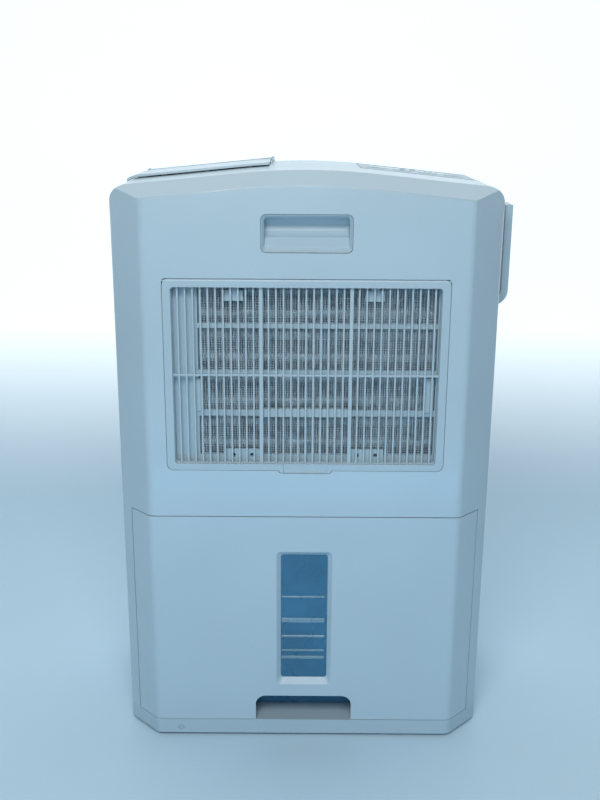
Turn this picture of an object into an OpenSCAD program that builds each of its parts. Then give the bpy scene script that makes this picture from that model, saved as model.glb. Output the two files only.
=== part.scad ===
// Compressor dehumidifier with a removable water tank, a tilting intake grille,
// a lift-up outlet flap and push keys on the top.
// Millimetres. +Z is up, the intake grille faces -Y, the floor is at Z = 0.

/* [Casing] */
// Width across the side walls, without the cord hook
body_w = 364; // [356:1:380]
// Depth from the front face to the rear face
body_d = 205; // [200:1:215]
// Height from the floor to the middle of the crowned top
body_h = 572; // [566:1:590]
// Thickness of the moulded walls
wall = 3; // [2.5:0.25:3.5]
// Width of the bevel down each front corner
front_bevel = 32; // [28:1:34]
// Width of the bevel down each rear corner
rear_bevel = 14; // [10:1:18]
// Rounding between the front face and the bevels beside it
bevel_round = 10; // [7:0.5:12]
// Rounding between the front face and the slope above it
top_round = 5; // [4:0.5:6]
// Radius of the curved middle of the top
crown_r = 615; // [560:5:700]
// Half width of the curved middle, beyond which the top is straight
crown_half = 62; // [50:1:70]

/* [Front] */
// Width of the intake grille panel
grille_w = 263; // [255:1:268]
// Height of the intake grille panel
grille_h = 184; // [176:1:188]
// Distance from one grille bar to the next
bar_pitch = 6.95; // [6:0.05:8]
// Height of the top edge of the tank front above the floor
tank_top = 245.5; // [242:0.5:248]
// Width of the water window at its outer edge
window_w = 55; // [45:1:65]
// Height of the water window at its outer edge
window_h = 147.6; // [130:0.1:150]

/* [Side and top] */
// How far the cord hook stands out from the right wall
hook_reach = 15.2; // [14:0.1:22]
// Length of the outlet flap across the flat part of the top
flap_w = 127; // [110:1:128]
// Travel of each push key
key_travel = 1.5; // [1:0.1:2]

/* [Inside] */
// Rows of tubes in each heat exchanger
tube_rows = 8; // [6:1:8]
// Radius of the blower wheel
wheel_r = 78; // [70:1:80]
// Number of blades on the blower wheel
blades = 36; // [24:1:44]
// Radius of the compressor shell
compressor_r = 48; // [44:1:50]

/* [Hidden] */
$fn = 48;

// Colours
shell_col = "#b3c6d0";
frame_col = "#a9bfca";
dark_col = "#4a5258";
rubber_col = "#2c2f31";
metal_col = "#b9bdc0";
copper_col = "#b87345";
tank_col = "#7fa3b8";
board_col = "#2f6b45";

// Casing
hw = body_w / 2;
hd = body_d / 2;
front_y = -hd;
foot_h = 3;
base_top = 19;
corner_r = 18;
gap = 0.35;
seam_y = 0;
cap_z = 536;
cap_y0 = front_y + 30.5;
front_slope = [12, 30];
rear_slope = [6, 12];
front_tilt = atan2(front_slope[0], front_slope[1]);
rear_tilt = atan2(rear_slope[0], rear_slope[1]);
round_tilts = [45, 67];
rear_round = 7;
round_steps = 3;
cap_y1 = hd - rear_slope[1] - 0.5;
crown_steps = 8;
crown_angle = atan(crown_half / crown_r);
slope_z0 = body_h + crown_half * crown_half / (2 * crown_r);

// Front face
grille_z = 385;
grille_r = 6;
opening_w = 248;
opening_h = 170;
opening_z = 384.3;
sleeve_d = 14;
pivot_r = 2;
hinge_pin_r = 1.2;
seat_top_r = 3.5;
grille_pivot = [front_y + pivot_r, grille_z + grille_h / 2 - pivot_r];
bar_t = 1.6;
rib_t = 3.4;
bar_y0 = front_y + 3.2;
bar_y1 = front_y + 7.2;
ribs_x = 6 * bar_pitch;
filter_x0 = -105;
filter_x1 = 126.5;
filter_z0 = 297.5;
filter_z1 = 473;
filter_y0 = front_y + 12;
filter_y1 = front_y + 16;
grip_w = 82;
grip_h = 33.5;
grip_z = 518;
scoop_r = 9;
scoop_centre = [9, 5];
scoop_rim = [1, -14.25];
cover_hw = 171;
window_z = 134;
pull_w = 97.5;
pull_top = 47;

// Tank
tank_w = 312;
tank_y0 = front_y + 5;
tank_y1 = -17;
tank_z0 = base_top + 0.4;
tank_z1 = 232;
tank_wall = 2;
tank_bevel = 8.5;
tank_round = 6;
lid_over = 1.4;
notch_w = pull_w + 16;
notch_y = front_y + 31;
notch_z = pull_top + 8;
inlet_x = -60;
inlet_y = -48;
float_x = 100;
float_pivot = [-28, 218];
pin_r = 2;
pin_clear = 0.05;

// Top
flap_x1 = -37;
flap_x0 = flap_x1 - flap_w;
flap_wrap = 13;
flap_notch = 3.4;
flap_y0 = front_y + 106;
hinge_y = 81.8;
hinge_z = 2.1;
hinge_r = 1.9;
panel_x0 = 53;
panel_x1 = 166;
panel_y0 = front_y + 105;
panel_y1 = 84;
panel_t = 2.5;
key_y = 28;
key_size = [18, 11];
key_x = [70, 96, 122, 148];
key_top = 0.8;
board_z = -12;

// Machinery
coil_x0 = -100;
coil_x1 = 125;
coil_z0 = 292;
coil_z1 = 472;
tube_r = 4.75;
tube_pitch = 21.4;
tube_z0 = 311;
evap_y = [-78, -46];
cond_y = [-41, -9];
end_t = 1.5;
screw_r = 1.6;
screw_sunk = 3;
side_screw = [-48, 427];
guard_d = 10;
fan_x = 4;
fan_z = 378;
fan_y0 = 0;
fan_y1 = 54;
scroll_r = 96;
throat_x0 = fan_x - scroll_r;
throat_x1 = -38;
duct_z = 516;
shaft_r = 4;
comp = [96, 44];
comp_z0 = 34;
comp_z1 = 232;
acc = [22, 62];
mount_r = 42;
mount_angles = [90, 210, 330];
discharge = [comp[0] - 20, comp[1] - 18, comp_z1 + 8];
suction = [40, comp[1], 62];

// ---- helpers -------------------------------------------------------------

// Moves the casing's middle so that the whole part, hook included, is centred on X = 0
module at_body() translate([-hook_reach / 2, 0, 0]) children();

module box(x, y, z) translate([x[0], y[0], z[0]]) cube([x[1] - x[0], y[1] - y[0], z[1] - z[0]]);

module round_rect(w, h, r) {
    square([w - 2 * r, h], center = true);
    square([w, h - 2 * r], center = true);
    for (sx = [-1, 1], sy = [-1, 1]) translate([sx * (w / 2 - r), sy * (h / 2 - r)]) circle(r = r);
}

// A plate that stands in the XZ plane, w wide and h high about (x, z), between two depths
module upright(w, h, r, y, x = 0, z = 0) {
    translate([x, y[1], z]) rotate([90, 0, 0]) linear_extrude(y[1] - y[0]) round_rect(w, h, r);
}

// A plate that lies in the XY plane
module flat(w, d, r, z, x = 0, y = 0) {
    translate([x, y, z[0]]) linear_extrude(z[1] - z[0]) round_rect(w, d, r);
}

module rod_x(r, x, y, z) translate([x[0], y, z]) rotate([0, 90, 0]) cylinder(r = r, h = x[1] - x[0]);

module rod_y(r, x, y, z) translate([x, y[1], z]) rotate([90, 0, 0]) cylinder(r = r, h = y[1] - y[0]);

module rod_z(r, x, y, z) translate([x, y, z[0]]) cylinder(r = r, h = z[1] - z[0]);

// ---- casing outline ------------------------------------------------------

function unit(v) = v / norm(v);

// The points of an arc of radius r that rounds the corner b between a and c
function round_corner(a, b, c, r) = let (u = unit(a - b), v = unit(c - b), half = acos(u * v) / 2,
    centre = b + unit(u + v) * r / sin(half), from = b + u * r / tan(half) - centre,
    to = b + v * r / tan(half) - centre, turn = atan2(from[0] * to[1] - from[1] * to[0], from * to))
    [for (k = [0 : round_steps]) let (w = atan2(from[1], from[0]) + turn * k / round_steps)
        centre + r * [cos(w), sin(w)]];

// The casing seen from above, moved in by t
module plan_outline(t) {
    x = hw - t;
    y = hd - t;
    shrink = t * (2 - sqrt(2));
    f = front_bevel - shrink;
    b = rear_bevel - shrink;
    p = [[-x, f - y], [f - x, -y], [x - f, -y], [x, f - y], [x, y - b], [x - b, y], [b - x, y], [-x, y - b]];
    polygon([for (i = [0 : 7])
        each round_corner(p[(i + 7) % 8], p[i], p[(i + 1) % 8], (i < 4 ? bevel_round : rear_round) - t)]);
}

// How far the top has fallen at a distance x from the middle
function crown_fall(x) = abs(x) < crown_half ? x * x / (2 * crown_r)
    : crown_half * (abs(x) - crown_half / 2) / crown_r;

// The curved middle of the top from right to left, with its fall scaled by k
function crown_line(k) = [for (i = [crown_steps : -1 : -crown_steps]) let (x = i * crown_half / crown_steps)
    [x, -k * crown_fall(x)]];

// The casing seen from the front, moved in by t: straight sides, rounded corners, crowned top
module front_outline(t) {
    r = corner_r - t;
    cx = hw - corner_r;
    cz = body_h - crown_fall(cx) - corner_r / cos(crown_angle);
    tx = cx + r * sin(crown_angle);
    tz = cz + r * cos(crown_angle);
    top = [for (p = crown_line(1)) [p[0], p[1] + body_h - t]];
    polygon(concat([[t - hw, 0], [hw - t, 0], [hw - t, cz], [tx, tz]], top, [[-tx, tz], [t - hw, cz]]));
    for (s = [-1, 1]) translate([s * cx, cz]) circle(r = r, $fn = 64);
}

// The space behind a tilted surface that meets the front face at height z and follows the crown, moved in by t
module slope_block(tilt, z, t) {
    reach = hw + 40;
    edge = cos(tilt) * crown_fall(reach);
    translate([0, front_y, z]) rotate([tilt, 0, 0]) translate([0, 400, -t])
        rotate([90, 0, 0]) linear_extrude(1100)
            polygon(concat([[-reach, -900], [reach, -900], [reach, -edge]], crown_line(cos(tilt)),
                [[-reach, -edge]]));
}

// Where a surface tilted by a, which touches the rounding above the face, meets that face
function tangent_z(slope, tilt, a) = body_h - slope[0]
    + top_round * ((1 - sin(a)) / cos(a) - (1 - sin(tilt)) / cos(tilt));

// The front outline carried through the depth of the casing
module front_prism(t) rotate([90, 0, 0]) linear_extrude(body_d + 20, center = true) front_outline(t);

module body_solid(t) {
    intersection() {
        linear_extrude(body_h + 10) plan_outline(t);
        front_prism(t);
        slope_block(front_tilt, body_h - front_slope[0], t);
        for (a = round_tilts) slope_block(a, tangent_z(front_slope, front_tilt, a), t);
        mirror([0, 1, 0]) slope_block(rear_tilt, body_h - rear_slope[0], t);
        mirror([0, 1, 0]) slope_block(round_tilts[0], tangent_z(rear_slope, rear_tilt, round_tilts[0]), t);
    }
}

module skin(t0, t1) {
    difference() {
        body_solid(t0);
        body_solid(t1);
    }
}

// Places its children on one flat side of the top: Z = 0 is the outer surface
module on_slope(side) translate([0, 0, slope_z0]) rotate([0, side * crown_angle, 0]) children();

// ---- casing --------------------------------------------------------------

module front_shell() {
    seat = grille_w + 2 * gap;
    seat_h = grille_h + 2 * gap;
    color(shell_col) at_body() difference() {
        union() {
            intersection() {
                skin(0, wall);
                union() {
                    box([-hw - 1, hw + 1], [-hd - 1, seam_y], [base_top, cap_z]);
                    box([-hw - 1, hw + 1], [-hd - 1, cap_y0], [cap_z - 1, body_h]);
                }
            }
            intersection() {
                body_solid(1);
                box([-hw, hw], [front_y, front_y + 15], [tank_top, tank_top + wall]);
            }
            upright(seat + 2 * wall, seat_h + 2 * wall, grille_r + wall, [front_y + 1, front_y + sleeve_d],
                0, grille_z);
        }
        box([-cover_hw - gap, cover_hw + gap], [-hd - 1, front_y + front_bevel + 4], [0, tank_top]);
        upright(seat, seat_h, grille_r, [-hd - 1, front_y + sleeve_d - 1.5], 0, grille_z);
        upright(seat, 30, seat_top_r, [-hd - 1, front_y + sleeve_d - 1.5], 0, grille_z + seat_h / 2 - 15);
        grille_tab(gap, front_y - 1);
        box([filter_x0 - 1, filter_x1 + 3], [front_y, front_y + sleeve_d + 1], [filter_z0 - 2, filter_z1 + 2]);
        rod_x(hinge_pin_r + pin_clear, [-seat / 2 - 2.5, seat / 2 + 2.5], grille_pivot[0], grille_pivot[1]);
        upright(grip_w + 1, grip_h + 1, 5, [-hd - 1, front_y + wall + 1], 0, grip_z);
        rod_x(screw_r + 0.05, [hw - wall - 1, hw + 1], side_screw[0], side_screw[1]);
    }
}

module rear_shell() {
    color(shell_col) at_body() difference() {
        union() {
            intersection() {
                skin(0, wall);
                union() {
                    box([-hw - 1, hw + 1], [seam_y + 0.4, hd + 1], [base_top, cap_z]);
                    box([-hw - 1, hw + 1], [cap_y1, hd + 1], [cap_z - 1, body_h]);
                }
            }
            for (p = rear_screws()) rod_y(7, p[0], [hd - wall - 6, hd - 1], p[1]);
        }
        for (p = rear_screws()) {
            rod_y(4.3, p[0], [hd - screw_sunk, hd + 1], p[1]);
            rod_y(screw_r + 0.05, p[0], [hd - 20, hd], p[1]);
        }
        upright(grip_w + 1, grip_h + 1, 5, [hd - wall - 1, hd + 1], 0, grip_z);
        rod_y(7.05, -120, [hd - wall - 1, hd + 1], 62);
    }
}

module top_cover() {
    color(shell_col) at_body() difference() {
        union() {
            intersection() {
                skin(0, wall);
                box([-hw - 1, hw + 1], [cap_y0 + 0.4, cap_y1 - 0.4], [cap_z + 0.4, body_h + 1]);
            }
            intersection() {
                skin(wall + 0.2, wall + 2.2);
                box([-hw, hw], [cap_y0 + 4, cap_y1 - 4], [cap_z - 8, cap_z + 12]);
            }
            intersection() {
                skin(wall - 1, wall + 2.2);
                box([-hw, hw], [cap_y0 + 4, cap_y1 - 4], [cap_z + 2, cap_z + 12]);
            }
            on_slope(1) translate([0, 0, -panel_t - 2.3])
                box([panel_x0 - 4, panel_x1 + 0.6], [panel_y0 - 4, panel_y1 + 3], [0, 2]);
            on_slope(-1) for (x = [flap_x0 - 3.4, flap_x1 + 0.4]) flap_lug(x);
        }
        on_slope(1) box([panel_x0 - gap, panel_x1 + gap], [panel_y0 - gap, panel_y1 + gap], [-panel_t - 0.3, 5]);
        on_slope(1) box([panel_x0 + 4, panel_x1 - 4], [panel_y0 + 4, panel_y1 - 4], [-20, 5]);
        on_slope(-1) box([flap_x0 + 4, flap_x1 - 4], [flap_y0 + 4, hinge_y - 6], [-12, 8]);
        on_slope(-1) rod_x(1.5 + pin_clear, [flap_x0 - 5, flap_x1 + 5], hinge_y, hinge_z);
    }
}

// A small ear that holds one end of the flap's hinge pin
module flap_lug(x) {
    box([x, x + 3], [hinge_y - 2.7, hinge_y + 2.7], [-2, hinge_z]);
    rod_x(2.7, [x, x + 3], hinge_y, hinge_z);
}

module base_pan() {
    color(frame_col) at_body() difference() {
        union() {
            difference() {
                translate([0, 0, foot_h]) linear_extrude(base_top - foot_h) plan_outline(0);
                translate([0, 0, foot_h - 1]) linear_extrude(base_top - foot_h - 3) plan_outline(wall);
            }
            for (x = [-62, 62]) box([x - 1.25, x + 1.25], [-hd + 2, hd - 2], [foot_h + 1, base_top - 1]);
            for (p = foot_places()) rod_z(15, p[0], p[1], [foot_h, base_top - 1]);
        }
        for (p = foot_places()) rod_z(8.05, p[0], p[1], [foot_h - 1, 9.05]);
        rod_y(2.8, -126, [-hd - 1, front_y + 1.6], 9.5);
    }
}

function foot_places() = [for (sx = [-1, 1], sy = [-1, 1]) [sx * (hw - 44), sy * (hd - 30)]];

module rubber_feet() {
    color(rubber_col) at_body() for (p = foot_places()) {
        rod_z(13, p[0], p[1], [0, foot_h]);
        rod_z(8, p[0], p[1], [foot_h, 9]);
    }
}

// The scoop's outline from the side: a slanting floor that meets a round back under a level roof, grown by t
module scoop_outline(t) {
    r = scoop_r + t;
    reach = norm(scoop_rim - scoop_centre);
    lean = atan2(scoop_centre[1] - scoop_rim[1], scoop_centre[0] - scoop_rim[0]) + asin(scoop_r / reach) - 90;
    side = [cos(lean), sin(lean)];
    run = [-sin(lean), cos(lean)];
    foot = scoop_rim + t * side;
    translate(scoop_centre) circle(r = r, $fn = 64);
    polygon([[-4, foot[1]], foot, scoop_centre + r * side, scoop_centre, scoop_centre + [0, r],
        [-4, scoop_centre[1] + r]]);
}

// An open scoop set into the casing as a place for the fingers, its mouth facing -Y
module grip_cup() {
    difference() {
        union() {
            intersection() {
                upright(grip_w, grip_h, 4.5, [front_y + 0.3, front_y + 22], 0, grip_z);
                scoop_prism(2.2);
            }
            upright(grip_w, grip_h, 4.5, [front_y + 0.3, front_y + wall + 2], 0, grip_z);
            upright(grip_w + 8, grip_h + 8, 6, [front_y + wall + 0.1, front_y + wall + 2], 0, grip_z);
        }
        intersection() {
            upright(grip_w - 5, grip_h - 5, 3.5, [-hd - 1, front_y + 20], 0, grip_z);
            scoop_prism(0);
        }
        hull() {
            upright(grip_w - 1, grip_h - 1, 4, [front_y, front_y + 0.3], 0, grip_z);
            upright(grip_w - 5, grip_h - 5, 3.5, [front_y, front_y + 3], 0, grip_z);
        }
    }
}

module scoop_prism(t) {
    translate([-grip_w, front_y, grip_z]) rotate([90, 0, 90]) linear_extrude(2 * grip_w) scoop_outline(t);
}

module front_grip() color(frame_col) at_body() grip_cup();

module rear_grip() color(frame_col) at_body() mirror([0, 1, 0]) grip_cup();

module cord_hook() {
    y0 = front_y + 70;
    bend_z = 456;
    inner = hook_reach - 6.9;
    color(frame_col) at_body() {
        translate([hw, y0 + 30, bend_z]) rotate([90, 0, 0]) linear_extrude(30) difference() {
            union() {
                circle(r = hook_reach);
                translate([inner, 0]) square([6.9, 82]);
            }
            circle(r = inner);
            translate([-40, -40]) square([40, 80]);
            translate([-1, 0]) square([inner + 1, 90]);
        }
        box([hw, hw + 2], [y0 - 4, y0 + 34], [bend_z - hook_reach - 4, bend_z + 8]);
    }
}

function rear_screws() = [for (sx = [-1, 1], z = [60, 270, 480]) [sx * (hw - 30), z]];

module case_screws() {
    color(metal_col) at_body() {
        translate([hw, side_screw[0], side_screw[1]]) rotate([0, 90, 0]) screw();
        for (p = rear_screws()) translate([p[0], hd - screw_sunk, p[1]]) rotate([-90, 0, 0]) screw();
    }
}

// A screw whose domed head with a cross recess stands on Z = 0
module screw() {
    translate([0, 0, -7]) cylinder(r = screw_r, h = 8);
    difference() {
        intersection() {
            cylinder(r = 3.8, h = 2.6);
            translate([0, 0, -3.4]) sphere(r = 6);
        }
        for (a = [0, 90]) rotate(a) translate([-2, -0.4, 1.2]) cube([4, 0.8, 3]);
    }
}

module cord_inlet() {
    color(rubber_col) at_body() difference() {
        union() {
            rod_y(7, -120, [hd - wall - 6, hd - 0.2], 62);
            rod_y(10, -120, [hd - wall - 8, hd - wall - 0.1], 62);
        }
        rod_y(3.6, -120, [hd - 20, hd + 1], 62);
    }
}

// ---- intake grille and filter --------------------------------------------

module intake_grille() {
    zc = grille_z;
    zt = grille_z + grille_h / 2;
    color(frame_col) at_body() difference() {
        union() {
            difference() {
                upright(grille_w, grille_h, grille_r, [front_y, front_y + 8.5], 0, zc);
                upright(opening_w, opening_h, 3, [-hd - 1, front_y + 9], 0, opening_z);
                upright(grille_w - 5, grille_h - 5, grille_r, [front_y + 5, front_y + 9], 0, zc);
            }
            for (i = [-17 : 17]) if (abs(i) != 6) grille_bar(i * bar_pitch, bar_t);
            for (s = [-1, 1]) grille_bar(s * ribs_x, rib_t);
            box([-opening_w / 2 - 1, opening_w / 2 + 1], [bar_y0 + 0.6, bar_y1 - 0.6], [385, 387]);
            difference() {
                upright(grille_w - 5, grille_h - 5, grille_r, [front_y + 4, front_y + 8.5], 0, zc);
                upright(opening_w - 1, opening_h - 1, 3, [-hd, front_y + 9], 0, opening_z);
            }
            rod_x(hinge_pin_r, [-grille_w / 2 - 2.5, grille_w / 2 + 2.5], grille_pivot[0], grille_pivot[1]);
            for (x = [-67.5, 63.5]) box([x - 6, x + 6], [front_y + 6, filter_y0], [469.5, 471.5]);
            grille_tab(0, front_y);
        }
        difference() {
            box([-200, 200], [-hd - 1, front_y + 9], [zt - pivot_r, zt + 5]);
            rod_x(pivot_r, [-201, 201], grille_pivot[0], grille_pivot[1]);
        }
        rod_x(21.4, [-21, 21], front_y - 20, zc - grille_h / 2 + 2);
    }
}

// The thumb tab that hangs below the middle of the grille's lower edge
module grille_tab(clear, y0) {
    upright(50 + 2 * clear, 9 + 2 * clear, 3, [y0, front_y + 5 + clear], 0, grille_z - grille_h / 2 + 1.7);
}

module grille_bar(x, t) {
    box([x - t / 2, x + t / 2], [bar_y0, bar_y1], [opening_z - opening_h / 2 - 1, opening_z + opening_h / 2 + 1]);
}

module filter_frame() {
    x = [filter_x0, filter_x1];
    y = [filter_y0, filter_y1];
    color(frame_col) at_body() difference() {
        union() {
            for (z = [[filter_z0, 305], [343.8, 349.8], [384.5, 389], [429, 433.6], [468, filter_z1]]) box(x, y, z);
            for (e = [[filter_x0, filter_x0 + 4], [filter_x1 - 4, filter_x1]]) box(e, y, [filter_z0, filter_z1]);
            for (e = [-28, 49]) box([e - 1, e + 1], [filter_y0 + 1, filter_y1], [filter_z0, filter_z1]);
            box([-41, 43], [filter_y0 - 2.5, filter_y0 + 1], [343.5, 351.6]);
            for (c = [-60, 58.5]) box([c - 16.5, c + 16.5], [filter_y0 - 1.5, filter_y0 + 1], [filter_z0, 311]);
            for (c = [-67.5, 63.5]) box([c - 9, c + 9], [filter_y0 - 1.5, filter_y0 + 1], [455, 465]);
            box([filter_x0, filter_x0 + 6], [filter_y0 - 1.5, filter_y0 + 1], [349, 381]);
            box([112, 121], [filter_y0 - 1.5, filter_y0 + 1], [348, 382]);
            for (c = [-67.5, 63.5]) box([c - 4, c + 4], [filter_y0 - 1, filter_y1], [463, 469]);
        }
        for (c = [-60, 58.5], s = [-1, 1]) rod_y(2, c + s * 9, [filter_y0 - 5, filter_y1 + 1], 305);
    }
}

module filter_mesh() {
    color(dark_col) at_body()
        box([filter_x0 + 3, filter_x1 - 3], [filter_y1, filter_y1 + 0.7], [filter_z0 + 3, filter_z1 - 3]);
}

// ---- top: outlet and controls --------------------------------------------

module outlet_flap() {
    notch_y = hinge_y - flap_notch;
    color(shell_col) at_body() difference() {
        intersection() {
            front_prism(-3.5);
            translate([0, 0, body_h - 40]) linear_extrude(50) polygon([[flap_x0 - flap_wrap, flap_y0],
                [flap_x1, flap_y0], [flap_x1, hinge_y], [flap_x0 + 0.4, hinge_y], [flap_x0 + 0.4, notch_y],
                [flap_x0 - flap_wrap, notch_y]]);
        }
        front_prism(-1.2);
    }
    color(shell_col) at_body() on_slope(-1) {
        rod_x(hinge_r, [flap_x0 + 0.2, flap_x1 - 0.5], hinge_y, hinge_z);
        rod_x(1.5, [flap_x0 - 3.2, flap_x1 + 3.2], hinge_y, hinge_z);
        for (x = [flap_x0 + 20, (flap_x0 + flap_x1) / 2, flap_x1 - 20])
            box([x - 0.8, x + 0.8], [flap_y0 + 8, hinge_y - 10], [-1.5, 1.3]);
    }
}

module outlet_guard() {
    x = [flap_x0 + 1, flap_x1 - 1];
    y = [flap_y0 + 1, hinge_y - 4];
    color(dark_col) at_body() intersection() {
        body_solid(wall);
        on_slope(-1) {
            difference() {
                box(x, y, [-guard_d, 0]);
                box([x[0] + 3, x[1] - 3], [y[0] + 3, y[1] - 3], [-guard_d - 1, 1]);
            }
            for (i = [1 : 10]) box(x, [y[0] + i * 6.8 - 0.6, y[0] + i * 6.8 + 0.6], [-8.5, -5]);
            for (i = [1 : 2]) box([x[0] + i * 41 - 0.8, x[0] + i * 41 + 0.8], y, [-9, -6.5]);
        }
    }
}

// The shaft of air from the scroll's throat up to the guard
module outlet_duct() {
    x = [flap_x0 + 1, flap_x1 - 1];
    y = [flap_y0 + 1, hinge_y - 4];
    color(frame_col) at_body() difference() {
        union() {
            box(x, y, [duct_z, 575]);
            box(x, [fan_y0, y[1]], [duct_z, duct_z + 4]);
        }
        box([x[0] + 2, x[1] - 2], [y[0] + 2, y[1] - 2], [duct_z + 4, 580]);
        box([throat_x0 + 2, throat_x1 - 2], [y[0] + 2, fan_y1 - 2], [duct_z - 1, duct_z + 5]);
        on_slope(-1) box([-220, 20], [-80, 120], [-guard_d, 40]);
    }
}

module control_panel() {
    color(frame_col) at_body() on_slope(1) difference() {
        box([panel_x0, panel_x1], [panel_y0, panel_y1], [-panel_t, 0.3]);
        for (x = key_x) translate([x, key_y, -5]) linear_extrude(10) round_rect(key_size[0] + 0.6, key_size[1] + 0.6, 2.8);
        translate([109, 60, -5]) linear_extrude(10) round_rect(76, 18, 2.5);
    }
}

module display_window() {
    color(dark_col) at_body() on_slope(1) {
        translate([109, 60, -panel_t]) linear_extrude(panel_t + 0.1) round_rect(75.9, 17.9, 2.45);
        translate([109, 60, -panel_t - 1.4]) linear_extrude(1.4) round_rect(80, 22, 2.5);
    }
}

module control_board() {
    color(board_col) at_body() on_slope(1) {
        box([panel_x0 + 5, panel_x1 - 5], [panel_y0 + 6, panel_y1 - 6], [board_z, board_z + 1.6]);
        for (x = key_x) box([x - 3, x + 3], [key_y - 3, key_y + 3], [board_z + 1.6, board_z + 5]);
        for (x = key_x) translate([x, 60, board_z + 1.6]) cylinder(r = 2.5, h = 4);
        for (x = [panel_x0 - 2, panel_x1 - 10]) box([x, x + 11], [40, 46], [board_z + 1.6, -panel_t - 2.3]);
    }
}

// One push key: cap, stem and the flange that keeps it under the panel
module key(i) {
    color(shell_col) at_body() on_slope(1) translate([key_x[i], key_y, 0]) {
        translate([0, 0, -panel_t - 0.1]) linear_extrude(panel_t + key_top + 0.1)
            round_rect(key_size[0], key_size[1], 2.5);
        translate([0, 0, -panel_t - 1.3]) linear_extrude(1.2)
            round_rect(key_size[0] + 3, key_size[1] + 3, 2.5);
        box([-1.5, 1.5], [-1.5, 1.5], [board_z + 5 + key_travel + 0.2, -panel_t - 1.2]);
    }
}

module power_key() key(0);

module mode_key() key(1);

module timer_key() key(2);

module fan_key() key(3);

// ---- water tank ----------------------------------------------------------

module tank_cover() {
    z0 = base_top + 0.5;
    z1 = tank_top - 0.8;
    color(shell_col) at_body() difference() {
        union() {
            translate([0, 0, z0]) linear_extrude(z1 - z0) intersection() {
                difference() {
                    plan_outline(0);
                    plan_outline(wall);
                }
                translate([-cover_hw, -hd - 1]) square([2 * cover_hw, front_bevel]);
            }
            upright(window_w + 4, window_h + 4, 5, [front_y + 1, front_y + 4.9], 0, window_z);
            for (x = [-120, 120], z = [70, 200]) rod_y(5, x, [front_y + wall - 0.5, tank_y0], z);
        }
        hull() {
            upright(window_w + 1, window_h + 1, 4, [-hd - 0.6, -hd - 0.5], 0, window_z);
            upright(window_w - 8.6, window_h - 11, 3, [front_y + 4.3, front_y + 4.4], 0, window_z + 0.9);
        }
        upright(window_w - 8.6, window_h - 11, 3, [front_y + 4, front_y + 6], 0, window_z + 0.9);
        upright(pull_w, 2 * (pull_top - base_top), 10, [-hd - 1, front_y + wall + 1], 0, base_top);
    }
}

// The tank seen from above, moved in by t: bevels at the front, rounded corners at the rear
module tank_outline(t) {
    x = tank_w / 2 - t;
    y0 = tank_y0 + t;
    y1 = tank_y1 - t;
    c = tank_bevel - t * (2 - sqrt(2));
    polygon(concat([[-x, y0 + c], [c - x, y0], [x - c, y0], [x, y0 + c]],
        round_corner([x, y0 + c], [x, y1], [-x, y1], tank_round - t),
        round_corner([x, y1], [-x, y1], [-x, y0 + c], tank_round - t)));
}

module tank_body() {
    color(tank_col, 0.6) at_body() difference() {
        translate([0, 0, tank_z0]) linear_extrude(tank_z1 - tank_z0) tank_outline(0);
        difference() {
            translate([0, 0, tank_z0 + tank_wall]) linear_extrude(tank_z1) tank_outline(tank_wall);
            box([-notch_w / 2 - tank_wall, notch_w / 2 + tank_wall], [-hd, notch_y + tank_wall],
                [0, notch_z + tank_wall]);
        }
        box([-notch_w / 2, notch_w / 2], [-hd, notch_y], [0, notch_z]);
    }
}

module tank_lid() {
    lug_x = [float_x - 22, float_x + 19];
    color(frame_col) at_body() difference() {
        union() {
            translate([0, 0, tank_z1 - 8]) linear_extrude(10.5) tank_outline(-lid_over);
            for (x = lug_x) box([x, x + 3], [float_pivot[0] - 5, float_pivot[0] + 5], [212, tank_z1]);
        }
        translate([0, 0, tank_z1 - 9]) linear_extrude(9) difference() {
            tank_outline(-0.2);
            for (x = lug_x) translate([x, float_pivot[0] - 5]) square([3, 10]);
        }
        flat(64, 34, 8, [tank_z1 - 1, tank_z1 + 5], inlet_x, inlet_y);
        flat(44, 26, 6, [tank_z1 - 1, tank_z1 + 5], -124, -36);
        rod_x(pin_r + pin_clear, [lug_x[0] - 1, lug_x[1] + 4], float_pivot[0], float_pivot[1]);
    }
}

module tank_float() {
    y = float_pivot[0];
    z = float_pivot[1];
    color("#e6e9ea") at_body() difference() {
        union() {
            rod_x(pin_r, [float_x - 23, float_x + 23], y, z);
            rod_x(4, [float_x - 18, float_x + 18], y, z);
            box([float_x - 16, float_x + 16], [y - 16, y], [z - 4, z - 1]);
            box([float_x - 18, float_x + 18], [y - 52, y - 16], [z - 20, z - 1]);
        }
        rod_x(4.05, [float_x - 4, float_x + 4], y + 1.5, z - 6.5);
    }
}

module float_magnet() {
    color(dark_col) at_body() rod_x(2.4, [float_x - 3.8, float_x + 3.8], float_pivot[0] + 1.5, float_pivot[1] - 6.5);
}

module tank_switch() {
    color(dark_col) at_body() {
        box([float_x - 12, float_x + 12], [-13.5, -11.05], [204, 222]);
        for (x = [-6, 6]) rod_y(1.2, float_x + x, [-11.1, -11.05 + 0.05], 213);
    }
}

// ---- refrigeration -------------------------------------------------------

function tube_z(row) = tube_z0 + row * tube_pitch;

function tube_y(side) = [side[0] + 9, side[1] - 9];

module fin_pack(side) {
    difference() {
        box([coil_x0, coil_x1], side, [coil_z0, coil_z1]);
        for (row = [0 : tube_rows - 1], y = tube_y(side)) rod_x(tube_r + 0.05, [coil_x0 - 1, coil_x1 + 1], y, tube_z(row));
    }
}

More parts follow.
